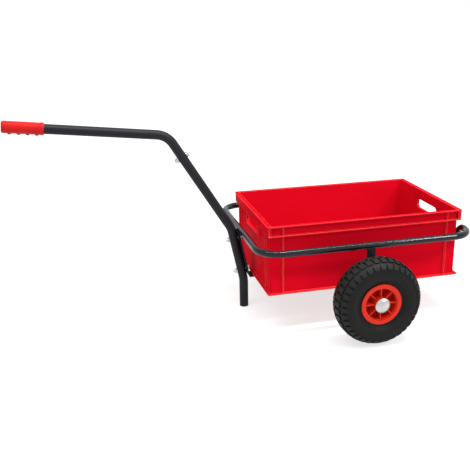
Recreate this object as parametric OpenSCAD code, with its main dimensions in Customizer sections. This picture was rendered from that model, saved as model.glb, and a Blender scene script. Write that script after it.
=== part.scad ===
// Two-wheeled hand cart: a stacking crate carried in a tubular hoop,
// towed by a bent drawbar whose lower end is also the front leg.
// X runs along the cart with the grip at -X, Y across it, Z up. Floor at z = 0.

/* [Crate] */
// Outer length of the crate at its rim
crate_l = 600; // [400:5:800]
// Outer width of the crate at its rim
crate_w = 400; // [300:5:440]
// Height of the crate
crate_h = 204; // [150:1:320]
// Thickness of the crate's walls
crate_wall = 3; // [2:0.5:5]
// How far the rim and the ribs stand out from the walls
crate_rib = 9; // [5:1:14]
// Thickness of the rim, the base flange and the ribs
rib_t = 3; // [2:0.5:5]
// Distance from the rim's top to the lower rim rib
rim_drop = 28; // [24:1:36]
// Distance of the inner upright ribs from the corners
rib_inset = 46; // [30:1:70]
// Distance of the end skirts behind the rim's edge
skirt_in = 2.5; // [1:0.5:4]
// Width of the hand holes
hole_w = 126; // [90:2:150]
// Height of the hand holes
hole_h = 29; // [20:1:45]
// Offset of the crate's middle behind the axle
crate_x = 29; // [0:1:60]
// Height of the axles above the crate's underside
axle_up = 14; // [6:0.5:16]

/* [Hoop] */
// Diameter of the hoop's tube
hoop_d = 20; // [16:1:25]
// Gap between the hoop and the crate's rim at the front
gap_front = 23.5; // [18:0.5:60]
// Gap between the hoop and the crate's rim at the rear
gap_rear = 4.5; // [3:0.5:40]
// Gap between the hoop and the crate's rim on each side
gap_side = 42; // [34:1:80]
// Height of the hoop's tube centre above the crate's underside
hoop_up = 142.5; // [110:0.5:180]
// Bend radius of the hoop's corners
hoop_r = 65; // [40:1:100]
// Dip of the hoop's rear tube, which clears the hand hole
hoop_dip = 30; // [20:1:45]
// Wall of all the steel tubes
tube_wall = 2; // [1:0.5:3]

/* [Drawbar] */
// Diameter of the drawbar's tube
bar_d = 27; // [22:1:34]
// Distance of the leg's foot behind the hoop's front tube
foot_back = 10.5; // [0:0.5:20]
// Distance of the leg's low bend below the crate's underside
low_bend_down = 20; // [12:1:40]
// Height of the bend above the hoop's tube centre
mid_bend_up = 3.5; // [0:0.5:40]
// Lean of the drawbar's slope from upright
slope_lean = 31.4; // [20:0.1:45]
// Height of the upper bend above the hoop's tube centre
top_bend_up = 295; // [230:1:450]
// Rise of the handle towards the grip
handle_rise = 6.2; // [0:0.1:20]
// Length of the handle from the upper bend to its end
handle_l = 434; // [300:2:600]
// Bend radius of the upper bend
top_bend_r = 60; // [45:1:90]
// Bend radius of the two lower bends
low_bend_r = 70; // [45:1:90]
// Distance of the joint bolt below the upper bend
joint_s = 77; // [60:1:150]
// Length of the sleeve inside the joint
sleeve_l = 120; // [80:2:180]

/* [Grip] */
// Length of the grip
grip_l = 108; // [90:1:160]
// Wall of the grip
grip_wall = 3; // [2:0.5:6]
// Height of the finger bumps
bump_h = 2; // [1:0.5:3]

/* [Cradle] */
// Thickness of the flat steel
flat_t = 5; // [3:0.5:6]
// Width of the long strap
strap_w = 40; // [30:1:60]
// Width of the cross bars and of the hangers
cross_w = 25; // [20:1:40]
// Thickness of the two hanger plates
plate_t = 8; // [5:0.5:10]
// Offset of the hangers' middle behind the axle
hanger_x = 17; // [0:1:30]
// Length of the two rest bars
rest_l = 240; // [120:5:320]

/* [Wheels] */
// Diameter of the tyres
tyre_d = 248; // [220:2:300]
// Width of the tyres
tyre_w = 86; // [70:1:100]
// Length of the spacers between the hangers and the wheels
spacer_l = 42.7; // [20:0.1:80]
// Diameter of the rims' bead seats
rim_d = 101.6; // [90:0.2:120]
// Outer width of the rims over their flanges
rim_w = 67; // [56:1:76]
// Height of the rim flanges above the bead seats
flange_h = 8.2; // [5:0.2:12]
// Diameter of the axles
axle_d = 20; // [15:1:25]
// Length of the hubs
hub_l = 72; // [68:1:90]
// Diameter of the axle caps
cap_d = 43; // [38:0.5:50]

/* [Hidden] */
$fn = 64;

paint = "#3a3840";
zinc = "#c9ccd0";
crate_red = "#e3051c";
rim_red = "#ee3a1c";
black = "#222322";

// Running and seating clearances
fit = 0.1;
play = 0.3;
bolt_d = 8;
bolt_play = 0.2;
head_h = 5.5;
nut_h = 6.5;
nut_af = 13;
washer_t = 1.6;
washer_d = 16;

// Shared places
wheel_r = tyre_d / 2;
bar_r = bar_d / 2;
tube_r = hoop_d / 2;
crate_z = wheel_r - axle_up;
hoop_z = crate_z + hoop_up;
hoop_front = crate_x - crate_l / 2 - gap_front - tube_r;
hoop_back = crate_x + crate_l / 2 + gap_rear + tube_r;
hoop_l = hoop_back - hoop_front;
hoop_x = (hoop_front + hoop_back) / 2;
side_y = crate_w / 2 + gap_side + tube_r;
hoop_w = 2 * side_y;
wall_l = crate_l - 2 * crate_rib;
wall_w = crate_w - 2 * crate_rib;

// Reach of a straight tube into a bend, and how much thinner the bend's wall is on each face
lap = 0.5;
hair = 0.05;

// The hoop's rear tube in the Y-Z plane, with a dip between its corners
dip_r = 25;
rear_z = hoop_z - hoop_dip;
corner_y = side_y - hoop_r;
dip_y = corner_y - dip_r * tan(22.5) - 1;
rear_path = [[-corner_y - lap, hoop_z], [-dip_y, hoop_z], [hoop_dip - dip_y, rear_z],
    [dip_y - hoop_dip, rear_z], [dip_y, hoop_z], [corner_y + lap, hoop_z]];

// The drawbar's line in the X-Z plane, from the foot up to the grip.
// The leg leans so that it just clears the hoop's front tube.
plug_t = 3;
foot_x = hoop_front + foot_back;
low_bend_z = crate_z - low_bend_down;
mid_bend_z = hoop_z + mid_bend_up;
top_bend_z = hoop_z + top_bend_up;
leg_rise = hoop_z - low_bend_z;
leg_lean = atan(foot_back / leg_rise) + asin((tube_r + bar_r + play) / norm([foot_back, leg_rise]));
up_leg = [-sin(leg_lean), cos(leg_lean)];
up_slope = [-sin(slope_lean), cos(slope_lean)];
along = [-cos(handle_rise), sin(handle_rise)];
p_foot = [foot_x, 0];
p_low = [foot_x, low_bend_z];
p_mid = p_low + up_leg * (mid_bend_z - low_bend_z) / cos(leg_lean);
p_top = p_mid + up_slope * (top_bend_z - mid_bend_z) / cos(slope_lean);
p_end = p_top + along * handle_l;
p_joint = p_top - up_slope * joint_s;
p_seam = p_joint - up_slope * sleeve_l / 4;
grip_tip = p_end + along * 4;
tip_r = 5;
grip_r = bar_r + grip_wall;
tip_x = grip_tip[0] + tip_r * cos(handle_rise) - (grip_r - tip_r) * sin(handle_rise) - tip_r;

// Middle of the whole cart along X, which the origin stands under
mid_x = (tip_x + hoop_back + tube_r) / 2;

// The cradle: the long strap's level, then the cross bars', then the crate
cross_z = crate_z - flat_t;
strap_z = cross_z - flat_t;
lean_off = bar_r / cos(leg_lean);
lean_t = flat_t / cos(leg_lean);

// Wheel and axle stations measured from the middle plane
hanger_out = side_y + plate_t / 2;
hanger_in = side_y - plate_t / 2;
bush_t = 2;
hub_half = hub_l / 2 + bush_t;
axle_washer_t = 3;
wheel_y = hanger_out + spacer_l + axle_washer_t + play + hub_half;
hub_in = wheel_y - hub_half - play;
hub_out = wheel_y + hub_half + play;
cap_y = hub_out + axle_washer_t;
cap_h = 9;
axle_r = axle_d / 2;
axle_in = hanger_in - 1;
axle_out = cap_y + cap_h - 4;
bore_r = axle_r + 4;
hub_r = bore_r + 5;
seat_r = rim_d / 2;
flange_r = seat_r + flange_h;
flange_t = 3.5;
rim_half = rim_w / 2;
bead_half = rim_half - flange_t - play;
valve_r = 2.5;
valve_l = 36;
valve_slant = 53;

function unit(v) = v / norm(v);
function ang(v) = atan2(v[1], v[0]);
function cross2(u, v) = u[0] * v[1] - u[1] * v[0];
function dot2(u, v) = u[0] * v[0] + u[1] * v[1];
function in_dir(p, i) = unit(p[i] - p[i - 1]);
function out_dir(p, i) = unit(p[i + 1] - p[i]);
function bend_angle(p, i) = acos(dot2(in_dir(p, i), out_dir(p, i)));
function cut_back(p, rb, i) = rb[i] * tan(bend_angle(p, i) / 2);
function spow(v, e) = sign(v) * pow(abs(v), e);

// Shifts a piece from the axle's frame to the cart's frame
module place() {
    translate([-mid_x, 0, 0]) children();
}

// Straight tube in the X-Z plane between two points
module straight(a, b, r, r_in) {
    translate([a[0], 0, a[1]]) rotate([0, 90 - ang(b - a), 0]) ring(r, r_in, norm(b - a));
}

// Bend of a tube at point i of a path
module bend(p, rb, i, r, r_in) {
    u = in_dir(p, i);
    turn = bend_angle(p, i);
    side = cross2(u, out_dir(p, i)) > 0 ? 1 : -1;
    start = p[i] - u * cut_back(p, rb, i);
    centre = start + [-u[1], u[0]] * side * rb[i];
    a0 = ang(start - centre) - (side > 0 ? 0 : turn);
    translate([centre[0], 0, centre[1]]) rotate([90, 0, 0]) rotate([0, 0, a0])
        rotate_extrude(angle = turn) translate([rb[i], 0]) difference() {
            circle(r = r);
            circle(r = r_in);
        }
}

// Thin-walled tube along a path, with a bend radius at each point.
// The straights reach a lap into the bends, whose wall is a hair thinner, as bending leaves it.
module path_tube(p, rb, r, wall) {
    n = len(p);
    for (i = [0 : n - 2]) {
        u = out_dir(p, i);
        a = p[i] + u * (i == 0 ? 0 : cut_back(p, rb, i) - lap);
        b = p[i + 1] - u * (i == n - 2 ? 0 : cut_back(p, rb, i + 1) - lap);
        straight(a, b, r, r - wall);
    }
    if (n > 2) for (i = [1 : n - 2]) bend(p, rb, i, r - hair, r - wall + hair);
}

// Rounded rectangle from exact squares and circles
module round_rect(l, w, r) {
    square([l - 2 * r, w], center = true);
    square([l, w - 2 * r], center = true);
    for (x = [-1, 1])
        for (y = [-1, 1])
            translate([x * (l / 2 - r), y * (w / 2 - r)]) circle(r = r);
}

// Hollow cylinder along Z
module ring(r_out, r_in, h) {
    difference() {
        cylinder(h = h, r = r_out);
        translate([0, 0, -1]) cylinder(h = h + 2, r = r_in);
    }
}

// Puts children, drawn along +Z, on the wheel's axis pointing outwards from distance y
module on_axle(side, y) {
    place() translate([0, side * y, wheel_r]) rotate([side > 0 ? -90 : 90, 0, 0]) children();
}

// ---- crate ----

// One flat rim rib or flange all round the crate
module crate_band(z) {
    translate([0, 0, z]) linear_extrude(rib_t) difference() {
        round_rect(crate_l, crate_w, 6);
        square([wall_l - 2, wall_w - 2], center = true);
    }
}

// Upright ribs near one corner of the crate, one on each wall
module corner_ribs(x, y) {
    top = crate_h - rib_t / 2;
    depth = crate_rib - skirt_in;
    translate([x * (crate_l / 2 - rib_inset) - rib_t / 2,
        y > 0 ? wall_w / 2 - 1 : -wall_w / 2 - depth, 0]) cube([rib_t, depth + 1, top]);
    translate([x > 0 ? wall_l / 2 - 1 : -wall_l / 2 - depth + 1,
        y * (crate_w / 2 - rib_inset) - rib_t / 2, 0]) cube([depth, rib_t, top]);
}

// Lower rim rib along both long sides
module long_ribs() {
    for (y = [-crate_w / 2, wall_w / 2 - 1])
        translate([skirt_in - crate_l / 2, y, crate_h - rim_drop - rib_t])
            cube([crate_l - 2 * skirt_in, crate_rib + 1, rib_t]);
}

// Skirt that closes the rim over a short side, open below
module skirt(x) {
    translate([x * (crate_l / 2 - skirt_in - rib_t / 2) - rib_t / 2, 1 - crate_w / 2,
        crate_h - rim_drop - rib_t]) cube([rib_t, crate_w - 2, rim_drop + rib_t / 2]);
}

// Post that closes the rim at one corner
module corner_post(x, y) {
    s = crate_rib - skirt_in + 2;
    translate([x * (crate_l / 2 - skirt_in - s / 2), y * (crate_w / 2 - skirt_in - s / 2),
        crate_h - rim_drop - rib_t]) linear_extrude(rim_drop + rib_t / 2) square(s, center = true);
}

// Hand hole with cut corners, through both short walls
module hand_hole() {
    c = 7;
    a = hole_w / 2;
    top = crate_h - rim_drop - rib_t - 2;
    low = top - hole_h;
    translate([-crate_l, 0, 0]) rotate([90, 0, 90]) linear_extrude(2 * crate_l)
        polygon([[-a, low + c], [-a + c, low], [a - c, low], [a, low + c],
            [a, top - c], [a - c, top], [-a + c, top], [-a, top - c]]);
}

// Raised edge round the hand holes
module hole_frame(x) {
    top = crate_h - rim_drop - rib_t;
    low = top - hole_h - 8;
    d = crate_rib - skirt_in - rib_t + 1;
    translate([x > 0 ? wall_l / 2 - 1 : -wall_l / 2 - d, -hole_w / 2 - 6, low])
        cube([d + 1, hole_w + 12, top - low + 1]);
}

module crate() {
    color(crate_red) place() translate([crate_x, 0, crate_z]) difference() {
        union() {
            linear_extrude(crate_h) round_rect(wall_l, wall_w, 8);
            crate_band(0);
            crate_band(crate_h - rib_t);
            long_ribs();
            skirt(-1);
            skirt(1);
            for (x = [-1, 1])
                for (y = [-1, 1]) {
                    corner_ribs(x, y);
                    corner_post(x, y);
                }
            hole_frame(-1);
            hole_frame(1);
        }
        translate([0, 0, crate_wall]) linear_extrude(crate_h)
            round_rect(wall_l - 2 * crate_wall, wall_w - 2 * crate_wall, 8 - crate_wall);
        hand_hole();
    }
}

// ---- hoop and cradle ----

// The hoop's front and side tubes as a solid of tube radius r
module hoop_solid(r) {
    for (y = [-1, 1])
        translate([hoop_front + hoop_r, y * side_y, hoop_z]) rotate([0, 90, 0])
            cylinder(h = hoop_l - 2 * hoop_r + lap, r = r);
    translate([hoop_front, corner_y, hoop_z]) rotate([90, 0, 0]) cylinder(h = 2 * corner_y, r = r);
    for (q = [1, 2])
        translate([hoop_front + hoop_r, (q == 1 ? 1 : -1) * corner_y, hoop_z]) rotate([0, 0, 90 * q])
            rotate_extrude(angle = 90) translate([hoop_r, 0]) circle(r = r);
}

module hoop() {
    color(paint) place() {
        difference() {
            hoop_solid(tube_r);
            hoop_solid(tube_r - tube_wall);
        }
        for (y = [-1, 1])
            translate([hoop_back - hoop_r, y * corner_y, hoop_z]) rotate([0, 0, y > 0 ? 0 : -90])
                rotate_extrude(angle = 90) translate([hoop_r, 0]) difference() {
                    circle(r = tube_r - hair);
                    circle(r = tube_r - tube_wall + hair);
                }
        translate([hoop_back, 0, 0]) rotate([0, 0, 90])
            path_tube(rear_path, [0, dip_r, dip_r, dip_r, dip_r, 0], tube_r, tube_wall);
    }
}

// Hanger plate from the hoop's side tube down to the axle
module hanger(side) {
    h0 = hanger_x - cross_w / 2;
    h1 = hanger_x + cross_w / 2;
    ear = axle_r + 11;
    neck = (hoop_z + wheel_r) / 2 + 16;
    color(paint) place() difference() {
        translate([0, side * side_y + plate_t / 2, 0]) rotate([90, 0, 0]) linear_extrude(plate_t)
            polygon([[h0, hoop_z], [h0, neck], [-ear, wheel_r + ear], [-ear, strap_z + 6],
                [6 - ear, strap_z], [h1 + 2, strap_z], [h1 + 2, neck - 20], [h1, neck], [h1, hoop_z]]);
        translate([-100, side * side_y, hoop_z]) rotate([0, 90, 0]) cylinder(h = 300, r = tube_r + fit);
        translate([0, side * side_y + plate_t, wheel_r]) rotate([90, 0, 0])
            cylinder(h = 2 * plate_t, r = axle_r + fit / 2);
    }
}

// Cross bar under the crate between the two hangers
module cross_bar() {
    color(paint) place() translate([hanger_x - cross_w / 2, -hanger_in, cross_z])
        cube([cross_w, 2 * hanger_in, flat_t]);
}

// Outline of the long strap: up the back of the leg, under the crate, up to the hoop's back
module strap_outline() {
    x0 = foot_x + lean_off;
    z_low = low_bend_z;
    lean = tan(leg_lean);
    reach = hoop_z - z_low;
    zc = strap_z + flat_t;
    xb = hoop_back - flat_t / 2;
    polygon([[x0 - reach * lean, hoop_z], [x0 - (strap_z + 12 - z_low) * lean, strap_z + 12],
        [x0 - (strap_z + 12 - z_low) * lean + 6, strap_z], [xb + flat_t - 4, strap_z],
        [xb + flat_t, strap_z + 4], [xb + flat_t, rear_z], [xb, rear_z],
        [xb, zc], [x0 + lean_t - (zc + 8 - z_low) * lean + 5, zc],
        [x0 + lean_t - (zc + 8 - z_low) * lean, zc + 8], [x0 + lean_t - reach * lean, hoop_z]]);
}

// Height on the leg of each of its two bolts
leg_bolt_z = [crate_z + 12, hoop_z - 29];

// Centre of the leg's line at height z
function leg_at(z) = p_low + up_leg * (z - low_bend_z) / cos(leg_lean);

// Puts children, drawn along +Z, square to the leg at height z, pointing ahead
module on_leg(z) {
    translate([leg_at(z)[0], 0, z]) rotate([0, -90 - leg_lean, 0]) children();
}

// Puts children, drawn along +Z, square to the drawbar's slope at the joint, pointing down ahead
module on_joint() {
    translate([p_joint[0], 0, p_joint[1]]) rotate([0, -90 - slope_lean, 0]) children();
}

module long_strap() {
    color(paint) place() difference() {
        translate([0, strap_w / 2, 0]) rotate([90, 0, 0]) linear_extrude(strap_w) strap_outline();
        for (p = [[hoop_front, hoop_z], [hoop_back, rear_z]])
            translate([p[0], strap_w, p[1]]) rotate([90, 0, 0]) cylinder(h = 2 * strap_w, r = tube_r + fit);
        for (z = leg_bolt_z)
            on_leg(z) translate([0, 0, -40]) cylinder(h = 60, r = bolt_d / 2 + bolt_play);
    }
}

// Short bar on the long strap that the crate rests on
module rest(x) {
    color(paint) place() translate([x - cross_w / 2, -rest_l / 2, cross_z])
        cube([cross_w, rest_l, flat_t]);
}

module rest_front() {
    rest(crate_x - crate_l / 2 + 50);
}

module rest_rear() {
    rest(crate_x + crate_l / 2 - 50);
}

// Angle that keeps the crate from sliding off sideways
module stop(side) {
    inner = crate_w / 2 + 3;
    color(paint) place() translate([hanger_x - cross_w / 2, 0, crate_z]) rotate([90, 0, 90])
        linear_extrude(cross_w) scale([side, 1])
            polygon([[inner, 0], [inner + 25, 0], [inner + 25, 3], [inner + 3, 3],
                [inner + 3, 20], [inner, 20]]);
}

// ---- drawbar ----

// Hole square to the leg at both leg bolts
module leg_holes() {
    for (z = leg_bolt_z)
        on_leg(z) translate([0, 0, -bar_d]) cylinder(h = 2 * bar_d, r = bolt_d / 2 + bolt_play);
}

// Hole square to the slope at the joint bolt
module joint_hole() {
    on_joint() translate([0, 0, -bar_d]) cylinder(h = 2 * bar_d, r = bolt_d / 2 + bolt_play);
}

module drawbar_upper() {
    color(paint) place() difference() {
        path_tube([p_seam, p_top, p_end], [0, top_bend_r, 0], bar_r, tube_wall);
        joint_hole();
    }
}

module drawbar_lower() {
    color(paint) place() difference() {
        path_tube([p_foot + [0, plug_t], p_low, p_mid, p_seam], [0, low_bend_r, low_bend_r, 0],
            bar_r, tube_wall);
        leg_holes();
    }
}

module joint_sleeve() {
    r = bar_r - tube_wall - fit;
    a = p_seam - up_slope * sleeve_l / 2;
    b = p_seam + up_slope * sleeve_l / 2;
    color(zinc) place() difference() {
        path_tube([a, b], [0, 0], r, tube_wall);
        joint_hole();
    }
}

// Plastic plug in the lower end of the leg
module foot_plug() {
    color(black) place() translate([foot_x, 0, 0]) {
        cylinder(h = plug_t, r = bar_r);
        translate([0, 0, plug_t]) cylinder(h = 20, r = bar_r - tube_wall - fit);
    }
}

// The grip lies along +Z from its open end to its closed tip
module grip() {
    root = grip_tip - along * grip_l;
    color(crate_red) place() translate([root[0], 0, root[1]]) rotate([0, -90 + handle_rise, 0])
        difference() {
            union() {
                cylinder(h = grip_l - tip_r, r = grip_r);
                cylinder(h = 9, r = grip_r + 0.7);
                translate([0, 0, grip_l - tip_r]) cylinder(h = tip_r, r = grip_r - tip_r);
                translate([0, 0, grip_l - tip_r])
                    rotate_extrude() translate([grip_r - tip_r, 0]) circle(r = tip_r);
                for (i = [0 : 3])
                    translate([-grip_r + 6 - bump_h, 0, 18 + i * (grip_l - 30) / 3.4])
                        rotate([90, 0, 0]) translate([0, 0, -7]) cylinder(h = 14, r = 6);
            }
            translate([0, 0, -1]) cylinder(h = grip_l - 3, r = bar_r + fit / 2);
        }
}

// ---- fasteners ----

// Bolt along +Z through a stack from z0 to z1, head below z0, thread past z1
module bolt(z0, z1) {
    translate([0, 0, z0 - head_h]) cylinder(h = head_h, d = nut_af / cos(30), $fn = 6);
    translate([0, 0, z0]) cylinder(h = z1 - z0 + nut_h + 3, d = bolt_d);
}

module nut_at(z) {
    translate([0, 0, z]) difference() {
        cylinder(h = nut_h, d = nut_af / cos(30), $fn = 6);
        translate([0, 0, -1]) cylinder(h = nut_h + 2, d = bolt_d + fit);
    }
}

module washer_at(z) {
    translate([0, 0, z]) ring(washer_d / 2, bolt_d / 2 + bolt_play, washer_t);
}

module joint_bolt() {
    color(zinc) place() on_joint() bolt(-bar_r - washer_t, bar_r + washer_t);
}

module leg_bolts() {
    color(zinc) place() for (z = leg_bolt_z)
        on_leg(z) bolt(-bar_r - flat_t - washer_t, bar_r + washer_t);
}

module nuts() {
    color(zinc) place() {
        on_joint() nut_at(bar_r + washer_t);
        for (z = leg_bolt_z)
            on_leg(z) nut_at(bar_r + washer_t);
    }
}

module washers() {
    color(zinc) place() {
        on_joint() {
            washer_at(bar_r);
            washer_at(-bar_r - washer_t);
        }
        for (z = leg_bolt_z)
            on_leg(z) {
                washer_at(bar_r);
                washer_at(-bar_r - flat_t - washer_t);
            }
    }
}

// ---- axles ----

module axle(side) {
    color(zinc) on_axle(side, axle_in) cylinder(h = axle_out - axle_in, r = axle_r);
}

module spacer(side) {
    color(paint) on_axle(side, hanger_out)
        ring(axle_r + 5, axle_r + fit / 2, spacer_l);
}

module axle_washers() {
    color(zinc) for (side = [-1, 1]) {
        on_axle(side, hub_in - axle_washer_t) ring(axle_r + 8, axle_r + fit / 2, axle_washer_t);
        on_axle(side, hub_out) ring(axle_r + 7, axle_r + fit / 2, axle_washer_t);
    }
}

// Domed cap pushed on the axle's end
module cap(side) {
    r = cap_d / 2;
    dome = (r * r + cap_h * cap_h) / (2 * cap_h);
    color(zinc) on_axle(side, cap_y) difference() {
        intersection() {
            translate([0, 0, cap_h - dome]) sphere(r = dome, $fn = 96);
            cylinder(h = cap_h + 1, r = r);
        }
        translate([0, 0, -1]) cylinder(h = cap_h - 3, r = axle_r + fit / 2);
    }
}

// ---- wheels ----

tyre_n = 2.4;
tyre_wall = 7;
tyre_half = tyre_w / 2;
tyre_mid = (wheel_r + flange_r - 1) / 2;
tyre_hr = wheel_r - tyre_mid;
bead_toe = 16;

// Points of a rounded tyre section between two angles
function section(hr, hw, a0, a1, n) = [for (i = [0 : n])
    let (t = a0 + (a1 - a0) * i / n)
    [tyre_mid + hr * spow(sin(t), 2 / tyre_n), hw * spow(cos(t), 2 / tyre_n)]];

module tyre_profile() {
    inner_w = tyre_half - tyre_wall;
    inner_r = tyre_hr - tyre_wall - 2;
    a_out = -acos(pow((bead_half + 1) / tyre_half, tyre_n / 2));
    a_in = -acos(pow((bead_toe + 2) / inner_w, tyre_n / 2));
    outer = section(tyre_hr, tyre_half, a_out, 180 - a_out, 28);
    inner = section(inner_r, inner_w, 180 - a_in, a_in, 20);
    polygon(concat([[seat_r + fit, bead_toe], [seat_r + fit, bead_half], [flange_r + play, bead_half]],
        outer, [[flange_r + play, -bead_half], [seat_r + fit, -bead_half], [seat_r + fit, -bead_toe]],
        inner));
}

module tyre(side) {
    color(black) on_axle(side, wheel_y) rotate_extrude($fn = 128) tyre_profile();
}

// Section of a rim flange with a full-round edge
module flange_profile(r_in) {
    e = flange_t / 2;
    polygon(concat([[r_in, rim_half - flange_t]],
        [for (t = [-90 : 15 : 90]) [flange_r - e + e * cos(t), rim_half - e + e * sin(t)]],
        [[r_in, rim_half]]));
}

// Puts children, drawn along +Z, on the valve's slanted axis, pointing out of the rim
module on_valve() {
    rotate([0, 0, 22.5]) translate([seat_r, 0, -12]) rotate([0, -90 - valve_slant, 0]) children();
}

// One-piece spoked rim, drawn about Z
module rim_body() {
    rib_n = 8;
    drum = seat_r - 6;
    difference() {
        union() {
            translate([0, 0, -rim_half + flange_t]) ring(seat_r, drum, rim_w - 2 * flange_t);
            rotate_extrude() flange_profile(drum + 2);
            rotate([180, 0, 0]) rotate_extrude() flange_profile(drum + 2);
            translate([0, 0, -2.5]) cylinder(h = 5, r = drum + 1);
            translate([0, 0, -hub_l / 2]) cylinder(h = hub_l, r = hub_r);
            for (i = [0 : rib_n - 1])
                rotate([0, 0, i * 360 / rib_n]) translate([hub_r - 1, -1.5, 6 - rim_half])
                    cube([drum - hub_r + 2, 3, rim_w - 12]);
        }
        translate([0, 0, -hub_l]) cylinder(h = 2 * hub_l, r = bore_r);
        on_valve() translate([0, 0, -10]) cylinder(h = 30, r = valve_r + fit);
    }
}

module rim(side) {
    color(rim_red) on_axle(side, wheel_y) rim_body();
}

// Two flanged bearing bushes in the ends of the hub
module bushes(side) {
    color("#e8e4da") on_axle(side, wheel_y) for (s = [0, 1]) mirror([0, 0, s]) {
        translate([0, 0, hub_l / 2 - 22]) ring(bore_r - fit / 2, axle_r + fit, 22);
        translate([0, 0, hub_l / 2]) ring(bore_r + 3, axle_r + fit, bush_t);
    }
}

// Valve stem through the rim's drum on the inboard side, with its cap
module valve(side) {
    color(black) on_axle(side, wheel_y) on_valve() {
        translate([0, 0, -1]) cylinder(h = valve_l, r = valve_r);
        translate([0, 0, valve_l - 9]) cylinder(h = 9, r = valve_r + 1.5);
    }
}

module hanger_left() { hanger(-1); }
module hanger_right() { hanger(1); }
module stop_left() { stop(-1); }
module stop_right() { stop(1); }
module axle_left() { axle(-1); }
module axle_right() { axle(1); }
module spacer_left() { spacer(-1); }
module spacer_right() { spacer(1); }
module cap_left() { cap(-1); }
module cap_right() { cap(1); }
module tyre_left() { tyre(-1); }
module tyre_right() { tyre(1); }
module rim_left() { rim(-1); }
module rim_right() { rim(1); }
module bushes_left() { bushes(-1); }
module bushes_right() { bushes(1); }
module valve_left() { valve(-1); }
module valve_right() { valve(1); }

crate();
hoop();
hanger_left();
hanger_right();
cross_bar();
long_strap();
rest_front();
rest_rear();
stop_left();
stop_right();
drawbar_upper();
drawbar_lower();
joint_sleeve();
grip();
foot_plug();
joint_bolt();
leg_bolts();
nuts();
washers();
axle_left();
axle_right();
spacer_left();
spacer_right();
axle_washers();
cap_left();
cap_right();
tyre_left();
tyre_right();
rim_left();
rim_right();
bushes_left();
bushes_right();
valve_left();
valve_right();
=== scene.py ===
import math

import bmesh
import bpy
from mathutils import Matrix, Vector


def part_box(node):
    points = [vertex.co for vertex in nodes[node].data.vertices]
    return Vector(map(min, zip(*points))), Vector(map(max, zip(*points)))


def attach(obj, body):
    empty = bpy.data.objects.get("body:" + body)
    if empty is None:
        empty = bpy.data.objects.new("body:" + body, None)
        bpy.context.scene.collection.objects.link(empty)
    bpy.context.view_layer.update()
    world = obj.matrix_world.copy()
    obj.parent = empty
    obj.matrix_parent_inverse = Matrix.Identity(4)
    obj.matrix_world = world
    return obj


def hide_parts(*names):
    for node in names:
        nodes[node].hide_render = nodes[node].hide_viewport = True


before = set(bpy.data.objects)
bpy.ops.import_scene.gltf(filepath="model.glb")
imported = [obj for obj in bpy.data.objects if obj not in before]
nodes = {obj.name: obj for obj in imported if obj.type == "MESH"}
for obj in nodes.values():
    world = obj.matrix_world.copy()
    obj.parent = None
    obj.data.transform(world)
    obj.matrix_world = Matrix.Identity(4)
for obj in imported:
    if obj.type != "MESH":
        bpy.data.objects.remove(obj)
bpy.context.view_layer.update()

MM = 0.001
FLAT = math.radians(2)      # faces that meet at less are joined into one
HARD = math.radians(32)     # edges sharper than this are shaded hard
SHARP = math.radians(40)    # edges sharper than this are rounded
MERGE = 0.002 * MM          # points nearer than this are one point
MIX_FIRST, MIX_SECOND, MIX_RESULT = 6, 7, 2     # the mix node's sockets for colours


# ---------------------------------------------------------------- finishes

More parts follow.
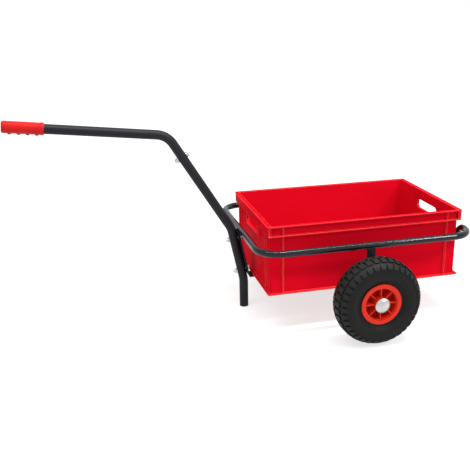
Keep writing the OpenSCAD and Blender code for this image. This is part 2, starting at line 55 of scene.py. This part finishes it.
class Finish:
    """A material with small helpers for wiring its nodes."""

    def __init__(self, name, colour, roughness, metallic=0.0):
        self.mat = bpy.data.materials.new(name)
        self.mat.use_nodes = True
        self.mat.diffuse_color = (*colour, 1)
        tree = self.mat.node_tree
        self.nodes, self.links = tree.nodes, tree.links
        self.shader = self.nodes["Principled BSDF"]
        self.set("Base Color", (*colour, 1))
        self.set("Roughness", roughness)
        self.set("Metallic", metallic)
        self.place = self.node("ShaderNodeTexCoord").outputs["Object"]
        self.height = None

    def node(self, kind, **values):
        made = self.nodes.new(kind)
        for key, value in values.items():
            setattr(made, key, value)
        return made

    def set(self, socket, value):
        self.shader.inputs[socket].default_value = value

    def link(self, out, into):
        self.links.new(out, into)

    def stretched(self, scale):
        """The piece's own coordinates, scaled along each axis."""
        m = self.node("ShaderNodeMapping", vector_type="POINT")
        m.inputs["Scale"].default_value = scale
        self.link(self.place, m.inputs["Vector"])
        return m.outputs["Vector"]

    def noise(self, scale, detail=3.0, roughness=0.5, stretch=None, twist=0.0):
        n = self.node("ShaderNodeTexNoise")
        n.inputs["Scale"].default_value = scale
        n.inputs["Detail"].default_value = detail
        n.inputs["Roughness"].default_value = roughness
        n.inputs["Distortion"].default_value = twist
        self.link(self.stretched(stretch) if stretch else self.place, n.inputs["Vector"])
        return n.outputs["Fac"]

    def cells(self, scale):
        v = self.node("ShaderNodeTexVoronoi", feature="F1")
        v.inputs["Scale"].default_value = scale
        self.link(self.place, v.inputs["Vector"])
        return v.outputs["Distance"]

    def span(self, value, low, high, out_low=0.0, out_high=1.0):
        """Stretches low..high of a value to out_low..out_high."""
        m = self.node("ShaderNodeMapRange")
        ends = {"From Min": low, "From Max": high, "To Min": out_low, "To Max": out_high}
        for key, number in ends.items():
            m.inputs[key].default_value = number
        self.link(value, m.inputs["Value"])
        return m.outputs["Result"]

    def combine(self, operation, a, b):
        m = self.node("ShaderNodeMath", operation=operation)
        for socket, value in zip(m.inputs, (a, b)):
            if isinstance(value, (int, float)):
                socket.default_value = value
            else:
                self.link(value, socket)
        return m.outputs["Value"]

    def blend(self, amount, first, second):
        m = self.node("ShaderNodeMix", data_type="RGBA")
        self.link(amount, m.inputs["Factor"])
        for number, value in ((MIX_FIRST, first), (MIX_SECOND, second)):
            socket = m.inputs[number]
            if isinstance(value, tuple):
                socket.default_value = (*value, 1)
            else:
                self.link(value, socket)
        return m.outputs[MIX_RESULT]

    def colour(self, out):
        self.link(out, self.shader.inputs["Base Color"])

    def rough(self, out):
        self.link(out, self.shader.inputs["Roughness"])

    def bump(self, height, strength, distance):
        """Adds a relief on top of the ones already there."""
        b = self.node("ShaderNodeBump")
        b.inputs["Strength"].default_value = strength
        b.inputs["Distance"].default_value = distance
        self.link(height, b.inputs["Height"])
        if self.height is not None:
            self.link(self.height, b.inputs["Normal"])
        self.height = b.outputs["Normal"]
        self.link(self.height, self.shader.inputs["Normal"])

    def attribute(self, name):
        return self.node("ShaderNodeAttribute", attribute_name=name).outputs["Fac"]


def moulded_red():
    """Satin injection-moulded crate plastic: fine grain, faint flow marks, and a painted highlight
    along the edges, made a little patchy like light rubbing.
    """
    f = Finish("crate_plastic", (0.50, 0.002, 0.010), 0.42)
    flow = f.noise(3.2, 4.0, 0.55, stretch=(1, 1, 2.5), twist=1.2)
    tone = f.blend(f.span(flow, 0.3, 0.7), (0.46, 0.0018, 0.009), (0.52, 0.0024, 0.012))
    scuff = f.span(f.noise(46, 6.0, 0.7, stretch=(1, 1, 5)), 0.60, 0.78)
    tone = f.blend(f.combine("MULTIPLY", scuff, 0.25), tone, (0.60, 0.012, 0.02))
    # painted highlight: every bevelled edge is lightened towards pale pink, varied only a little by
    # noise like rubbing
    painted_edge_highlight = f.combine("MULTIPLY", f.attribute("edge"), f.span(f.noise(60, 3.0), 0.2, 0.65, 0.6, 1.0))
    f.colour(f.blend(painted_edge_highlight, tone, (0.98, 0.11, 0.085)))
    f.rough(f.combine("ADD", f.span(flow, 0.3, 0.7, 0.48, 0.56), f.combine("MULTIPLY", scuff, 0.14)))
    f.bump(f.noise(1500, 2.0), 0.10, 0.0002)
    f.bump(f.noise(22, 2.0), 0.05, 0.004)
    f.set("Specular IOR Level", 0.05)
    f.set("IOR", 1.1)
    return f.mat


def gloss_paint():
    """Thick glossy anthracite stove enamel with a light orange peel."""
    f = Finish("hoop_paint", (0.009, 0.010, 0.013), 0.24)
    drift = f.noise(9, 3.0)
    f.colour(f.blend(f.span(drift, 0.3, 0.7), (0.0045, 0.005, 0.0075), (0.007, 0.008, 0.012)))
    rub = f.span(f.noise(120, 5.0, 0.7, stretch=(0.4, 1, 1)), 0.62, 0.8, 0.0, 0.12)
    f.rough(f.combine("ADD", rub, 0.13))
    f.bump(f.noise(260, 2.0), 0.04, 0.0003)
    f.set("Specular IOR Level", 0.15)
    f.set("Coat Weight", 0.25)
    f.set("Coat Roughness", 0.05)
    return f.mat


def satin_paint():
    """Satin anthracite powder coat: fine leathery grain, dusty patches, rubbed edges."""
    f = Finish("frame_paint", (0.010, 0.0095, 0.013), 0.46)
    drift = f.noise(7, 4.0, 0.6)
    tone = f.blend(f.span(drift, 0.3, 0.7), (0.0065, 0.006, 0.009), (0.010, 0.0095, 0.013))
    dust = f.span(f.noise(38, 6.0, 0.72), 0.6, 0.82, 0.0, 0.35)
    tone = f.blend(dust, tone, (0.030, 0.029, 0.033))
    chip = f.combine("MULTIPLY", f.attribute("edge"), f.span(f.noise(90, 4.0), 0.55, 0.7))
    f.colour(f.blend(chip, tone, (0.16, 0.16, 0.17)))
    f.rough(f.combine("ADD", f.span(drift, 0.3, 0.7, 0.42, 0.50), f.combine("MULTIPLY", dust, 0.3)))
    f.bump(f.cells(1400), 0.16, 0.0002)
    f.set("Specular IOR Level", 0.16)
    return f.mat


def plated_zinc():
    """Bright zinc plate: patchy brightness, a hint of blue and straw, hairline rubs."""
    f = Finish("zinc", (0.66, 0.67, 0.69), 0.30, 1.0)
    patch = f.noise(70, 4.0, 0.6)
    tone = f.blend(f.span(patch, 0.3, 0.7), (0.42, 0.42, 0.43), (0.62, 0.60, 0.56))
    spangle = f.span(f.cells(260), 0.0, 0.6)
    f.colour(f.blend(f.combine("MULTIPLY", spangle, 0.35), tone, (0.50, 0.51, 0.53)))
    f.rough(f.combine("ADD", f.span(patch, 0.3, 0.7, 0.20, 0.36), f.combine("MULTIPLY", spangle, 0.06)))
    f.bump(f.noise(700, 3.0, stretch=(1, 1, 8)), 0.12, 0.0002)
    return f.mat


def grip_vinyl():
    """Soft red grip: silky sheen, fine matt grain, darker in patches."""
    f = Finish("grip_plastic", (0.46, 0.008, 0.007), 0.42)
    f.set("Specular IOR Level", 0.10)
    held = f.noise(24, 4.0, 0.6)
    f.colour(f.blend(f.span(held, 0.35, 0.7), (0.44, 0.006, 0.005), (0.36, 0.004, 0.004)))
    f.rough(f.span(held, 0.3, 0.7, 0.36, 0.50))
    f.bump(f.noise(1100, 2.0), 0.18, 0.0002)
    f.set("Sheen Weight", 0.12)
    f.set("Sheen Roughness", 0.4)
    return f.mat


def black_plug():
    """Hard black polyethylene with a scuffed face."""
    f = Finish("black_plastic", (0.014, 0.014, 0.015), 0.48)
    scuff = f.span(f.noise(160, 5.0, 0.7), 0.5, 0.75)
    f.colour(f.blend(scuff, (0.012, 0.012, 0.013), (0.045, 0.044, 0.043)))
    f.rough(f.span(scuff, 0.0, 1.0, 0.42, 0.66))
    f.bump(f.noise(900, 2.0), 0.2, 0.0002)
    return f.mat


def tyre_rubber():
    """Black tyre rubber: matt and dusty, greyer on the tread tops."""
    f = Finish("tyre_rubber", (0.014, 0.015, 0.0145), 0.62)
    bloom = f.noise(16, 5.0, 0.62)
    tone = f.blend(f.span(bloom, 0.35, 0.72), (0.0025, 0.0030, 0.0025), (0.0055, 0.006, 0.0052))
    dust = f.span(f.noise(110, 6.0, 0.75), 0.56, 0.80, 0.0, 0.5)
    tone = f.blend(dust, tone, (0.024, 0.025, 0.024))
    f.colour(f.blend(f.combine("MULTIPLY", f.attribute("tread"), 0.55), tone, (0.012, 0.013, 0.012)))
    f.rough(f.combine("ADD", f.span(bloom, 0.3, 0.7, 0.50, 0.62), f.combine("MULTIPLY", dust, 0.25)))
    f.bump(f.noise(850, 3.0, 0.6), 0.22, 0.0003)
    f.set("Specular IOR Level", 0.16)
    return f.mat


def rim_red():
    """Glossy orange-red wheel plastic with faint sink marks and a painted highlight along its edges."""
    f = Finish("rim_plastic", (0.64, 0.018, 0.007), 0.27)
    f.set("Specular IOR Level", 0.12)
    flow = f.noise(30, 4.0, 0.55, twist=0.8)
    tone = f.blend(f.span(flow, 0.3, 0.7), (0.52, 0.013, 0.003), (0.60, 0.020, 0.004))
    # painted highlight: the bevelled edges are lightened evenly towards pale orange
    painted_edge_highlight = f.combine("MULTIPLY", f.attribute("edge"), 0.45)
    f.colour(f.blend(painted_edge_highlight, tone, (0.85, 0.07, 0.035)))
    f.rough(f.span(flow, 0.3, 0.7, 0.22, 0.32))
    f.bump(f.noise(90, 2.0), 0.06, 0.001)
    f.set("Coat Weight", 0.12)
    f.set("Coat Roughness", 0.15)
    return f.mat


def ivory_nylon():
    """Ivory bearing nylon with patches of grease."""
    f = Finish("bush_plastic", (0.72, 0.68, 0.58), 0.40)
    grease = f.span(f.noise(220, 5.0, 0.7), 0.5, 0.75)
    f.colour(f.blend(grease, (0.74, 0.70, 0.61), (0.36, 0.32, 0.25)))
    f.rough(f.span(grease, 0.0, 1.0, 0.42, 0.25))
    f.bump(f.noise(1300, 2.0), 0.15, 0.0001)
    return f.mat


def valve_black():
    """Matt valve rubber."""
    f = Finish("valve_rubber", (0.016, 0.016, 0.016), 0.68)
    bloom = f.noise(300, 4.0, 0.7)
    f.colour(f.blend(f.span(bloom, 0.4, 0.7), (0.013, 0.013, 0.013), (0.035, 0.034, 0.033)))
    f.bump(f.noise(1500, 2.0), 0.25, 0.0001)
    return f.mat


crate_red = moulded_red()
enamel = gloss_paint()
powder = satin_paint()
zinc = plated_zinc()
vinyl = grip_vinyl()
plug_black = black_plug()
rubber = tyre_rubber()
wheel_red = rim_red()
nylon = ivory_nylon()
valve_rubber = valve_black()


# ---------------------------------------------------------------- mesh helpers

def soften(bm):
    """Smooth faces, with hard edges kept where two faces meet sharply."""
    for face in bm.faces:
        face.smooth = True
    for edge in bm.edges:
        edge.smooth = edge.calc_face_angle(0.0) < HARD


def piece(name, bm, mat, body, stands_for):
    """Makes the object, puts on its finish, hangs it on its body and lets it stand for a node."""
    soften(bm)
    mesh = bpy.data.meshes.new(name)
    bm.to_mesh(mesh)
    bm.free()
    mesh.materials.append(mat)
    obj = bpy.data.objects.new(name, mesh)
    bpy.context.scene.collection.objects.link(obj)
    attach(obj, body)
    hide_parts(stands_for)


def from_node(node):
    """A merged copy of a CAD node's mesh with its flat faces joined up."""
    bm = bmesh.new()
    bm.from_mesh(nodes[node].data)
    bmesh.ops.remove_doubles(bm, verts=bm.verts, dist=MERGE)
    bmesh.ops.dissolve_limit(bm, angle_limit=FLAT, verts=bm.verts, edges=bm.edges)
    bmesh.ops.recalc_face_normals(bm, faces=bm.faces)
    return bm


def break_edges(bm, width, clamp):
    """Rounds every sharp edge and marks the new faces in the edge attribute."""
    mark = bm.faces.layers.float.new("edge")
    sharp = [e for e in bm.edges if e.is_manifold and e.calc_face_angle(0.0) > SHARP]
    made = bmesh.ops.bevel(bm, geom=sharp, offset=width, offset_type="OFFSET", affect="EDGES",
                           segments=2, profile=0.5, material=-1, clamp_overlap=clamp)
    for face in made["faces"]:
        face[mark] = 1.0


def node_piece(node, mat, body, width, clamp=True):
    """The node's shape with its sharp edges broken by width."""
    bm = from_node(node)
    break_edges(bm, width, clamp)
    piece(node + "_made", bm, mat, body, node)


def refinish(node, mat):
    """Puts a finish on a node whose own mesh stays."""
    nodes[node].data.materials.clear()
    nodes[node].data.materials.append(mat)


# ---------------------------------------------------------------- crate

# unclamped, because the clamp's limit for the tightest spot leaves the whole crate all but sharp
node_piece("crate", crate_red, "crate", width=0.5 * MM, clamp=False)

# ---------------------------------------------------------------- painted steel

for name in ("hanger_left", "hanger_right", "cross_bar", "long_strap",
             "rest_front", "rest_rear", "stop_left", "stop_right"):
    node_piece(name, powder, "chassis", width=0.6 * MM)

# ---------------------------------------------------------------- tyres

PITCHES = 36          # lugs round each shoulder
COLUMNS = 4           # faces round each pitch
LUG = 3.0 * MM        # height of a lug
CASING = 8.0 * MM     # thickness of the rubber
LINE = 0.35 * MM      # depth of a fine groove in the sidewall
SEAT = 50.9 * MM      # radius of the rim's drum under the tyre
FLANGE = 59.3 * MM    # radius at which the tyre leaves the rim's flange
BEAD = 29.7 * MM      # half the width between the rim's flanges
MOUTH = 16.0 * MM     # half the width of the tyre's open inner side
ROOT = 58.0 * MM      # radius at which the section's lower half ends
FULLNESS = 2 / 2.4    # power that fills the section out towards a rounded square
GROOVES = (-37, 6)    # where the sidewall's fine grooves run, in degrees
ON_SKIN = 0.93        # share of the sunken section past which a face is on its outside
TREAD_FROM = 0.30     # share of the rise at which the tread begins
SHOULDER = 0.60       # share of the half width past which shoulder blocks stand
CENTRE = 0.52         # share of the half width within which centre blocks stand


class Section:
    """The tyre's section: a squarish oval about its middle radius."""

    def __init__(self, radius, half):
        self.half = half
        self.middle = (radius + ROOT) / 2
        self.rise = radius - self.middle

    def skin(self, degrees, inward=0.0):
        """Radius and sideways place on the oval, 0 at the side and 90 at the crown."""
        s, c = math.sin(math.radians(degrees)), math.cos(math.radians(degrees))
        return (self.middle + (self.rise - inward) * math.copysign(abs(s) ** FULLNESS, s),
                (self.half - inward) * math.copysign(abs(c) ** FULLNESS, c))

    def outline(self):
        """The closed outline: sidewall, sunken crown, sidewall, and back through the hollow."""
        wall = [-44, -38, -37, -30, -20, -8, 4, 6, 8, 15, 21]
        crown = [24, 32, 41, 50, 60, 63, 72, 81, 90]
        rows = [(t, LINE if t in GROOVES else 0.0) for t in wall] + [(t, LUG) for t in crown]
        rows += [(180 - t, sunk) for t, sunk in reversed(rows[:-1])]
        outer = [self.skin(t, sunk) for t, sunk in rows]
        inner = [self.skin(180 - t, CASING) for t in range(-30, 211, 30)]
        ring = [(FLANGE, BEAD)] + outer + [(FLANGE, -BEAD), (SEAT, -BEAD), (SEAT, -MOUTH)]
        return ring + inner + [(SEAT, MOUTH), (SEAT, BEAD)]

    def out(self, at):
        """The way out of the section at a point."""
        r = math.hypot(at.x, at.z)
        lift = (r - self.middle) / self.rise
        return Vector((at.x / r * lift, at.y / self.half, at.z / r * lift)).normalized()

    def in_tread(self, face):
        """True for the sunken crown's outer faces."""
        at = face.calc_center_median()
        r = math.hypot(at.x, at.z)
        if face.normal.dot(Vector((at.x / r, 0, at.z / r))) < 0.05 and abs(face.normal.y) < 0.5:
            return False
        up, side = (r - self.middle) / (self.rise - LUG), abs(at.y) / (self.half - LUG)
        return math.hypot(up, side) > ON_SKIN and r >= self.middle + TREAD_FROM * self.rise

    def in_lug(self, face):
        """True where a lug stands: shoulder blocks, and centre blocks set half a pitch apart."""
        at = face.calc_center_median()
        column = (math.degrees(math.atan2(at.z, at.x)) % 360) / 360 * PITCHES * COLUMNS
        step = int(column + (0 if at.y > 0 else COLUMNS / 2)) % COLUMNS
        across = abs(at.y) / self.half
        return (across > SHOULDER and step != 0) or (across < CENTRE and step != 2)


def raise_lugs(bm, section):
    """Shrinks the lugs' faces, lifts them out of the tread and marks their tops."""
    lugs = [face for face in bm.faces if section.in_tread(face) and section.in_lug(face)]
    tread = bm.faces.layers.float["tread"]
    bmesh.ops.inset_region(bm, faces=lugs, thickness=0.9 * MM, depth=0.0, use_even_offset=True,
                           use_boundary=True)
    raised = bmesh.ops.extrude_face_region(bm, geom=lugs)["geom"]
    for part in raised:
        if isinstance(part, bmesh.types.BMVert):
            part.co += section.out(part.co) * LUG
            part.co.y = max(-section.half, min(section.half, part.co.y))
        elif isinstance(part, bmesh.types.BMFace):
            part[tread] = 1.0
    below = [face for face in lugs if face.is_valid]
    bmesh.ops.delete(bm, geom=below, context="FACES_KEEP_BOUNDARY")


def tyre(side, body):
    """A treaded tyre that fills the node's box."""
    node = "tyre_" + side
    low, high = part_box(node)
    section = Section((high.z - low.z) / 2, (high.y - low.y) / 2)
    bm = bmesh.new()
    bm.faces.layers.float.new("tread")
    verts = [bm.verts.new((r, y, 0)) for r, y in section.outline()]
    edges = [bm.edges.new(ends) for ends in zip(verts, verts[1:] + verts[:1])]
    bmesh.ops.spin(bm, geom=verts + edges, axis=(0, 1, 0), cent=(0, 0, 0), angle=2 * math.pi,
                   steps=PITCHES * COLUMNS, use_merge=True)
    bmesh.ops.remove_doubles(bm, verts=bm.verts, dist=MERGE / 2)
    bmesh.ops.recalc_face_normals(bm, faces=bm.faces)
    bm.normal_update()
    raise_lugs(bm, section)
    bmesh.ops.translate(bm, vec=(low + high) / 2, verts=bm.verts)
    piece(node + "_made", bm, rubber, body, node)


for side in ("left", "right"):
    tyre(side, "wheel_" + side)
    refinish("valve_" + side, valve_rubber)
    refinish("bushes_" + side, nylon)
    node_piece("rim_" + side, wheel_red, "wheel_" + side, width=0.6 * MM)

# ---------------------------------------------------------------- grip, plug and fasteners

node_piece("grip", vinyl, "chassis", width=0.7 * MM)
node_piece("foot_plug", plug_black, "chassis", width=0.8 * MM)
for name in ("joint_bolt", "leg_bolts", "nuts"):
    node_piece(name, zinc, "chassis", width=0.4 * MM)

# ---------------------------------------------------------------- pieces whose own mesh stays

refinish("hoop", enamel)
for name in ("drawbar_upper", "drawbar_lower", "spacer_left", "spacer_right"):
    refinish(name, powder)
for name in ("joint_sleeve", "washers", "axle_washers",
             "axle_left", "axle_right", "cap_left", "cap_right"):
    refinish(name, zinc)

# ---------------------------------------------------------------- studio

def place_light(name, lamp, way, spot=(0, 0, 0)):
    """Puts a lamp at a spot, shining along way."""
    obj = bpy.data.objects.new(name, lamp)
    obj.location = spot
    obj.rotation_euler = Vector(way).to_track_quat("-Z", "Y").to_euler()
    bpy.context.scene.collection.objects.link(obj)


def soft_sun(name, way, strength, spread):
    """A sun whose shadows have soft edges, spread degrees wide."""
    lamp = bpy.data.lights.new(name, "SUN")
    lamp.energy = strength
    lamp.angle = math.radians(spread)
    place_light(name, lamp, way)


def strip_light(name, spot, aim, size, power):
    """A long narrow panel, which draws a bright line along a glossy tube."""
    lamp = bpy.data.lights.new(name, "AREA")
    lamp.shape = "RECTANGLE"
    lamp.size, lamp.size_y = size
    lamp.energy = power
    place_light(name, lamp, Vector(aim) - Vector(spot), spot)


def pale_floor():
    """A wide pale floor that gives off much of its own brightness, so that shadows stay light."""
    bm = bmesh.new()
    bmesh.ops.create_grid(bm, x_segments=1, y_segments=1, size=40)
    mesh = bpy.data.meshes.new("floor")
    bm.to_mesh(mesh)
    bm.free()
    paper = Finish("floor_paper", (0.32, 0.32, 0.32), 0.9)
    paper.set("Emission Color", (1, 1, 1, 1))
    paper.set("Emission Strength", 0.68)
    paper.set("Specular IOR Level", 0.0)
    mesh.materials.append(paper.mat)
    floor = bpy.data.objects.new("floor", mesh)
    bpy.context.scene.collection.objects.link(floor)


pale_floor()
world = bpy.data.worlds.new("studio")
world.use_nodes = True
surround = world.node_tree.nodes["Background"].inputs
surround["Color"].default_value = (1, 1, 1, 1)
surround["Strength"].default_value = 1.0
bpy.context.scene.world = world
soft_sun("noon", way=(-0.20, 0.16, -1), strength=1.2, spread=14)
soft_sun("key", way=(-0.55, 0.62, -0.8), strength=1.1, spread=7)
strip_light("strip", spot=(0.1, -0.5, 2.4), aim=(0.1, -0.2, 0.2), size=(3.4, 0.10), power=55)

# ---------------------------------------------------------------- camera

camera = bpy.data.cameras.new("camera")
camera.sensor_width = 36
camera.lens = 54.9
camera.shift_x = -0.0744
camera.shift_y = 0.0153
camera.clip_start, camera.clip_end = 0.05, 100
eye = bpy.data.objects.new("camera", camera)
bpy.context.scene.collection.objects.link(eye)
azimuth, elevation, roll = math.radians(-15.79), math.radians(19.19), math.radians(-0.28)
target = Vector((0.0866, 0, 0.2))
distance = 2.20358
level = math.cos(elevation)
back = Vector((math.sin(azimuth) * level, -math.cos(azimuth) * level, math.sin(elevation)))
eye.rotation_mode = "QUATERNION"
aim = (-back).to_track_quat("-Z", "Y")
eye.rotation_quaternion = aim @ Matrix.Rotation(roll, 3, "Z").to_quaternion()
eye.location = target + back * distance
bpy.context.scene.camera = eye
bpy.context.scene.view_settings.view_transform = "Standard"
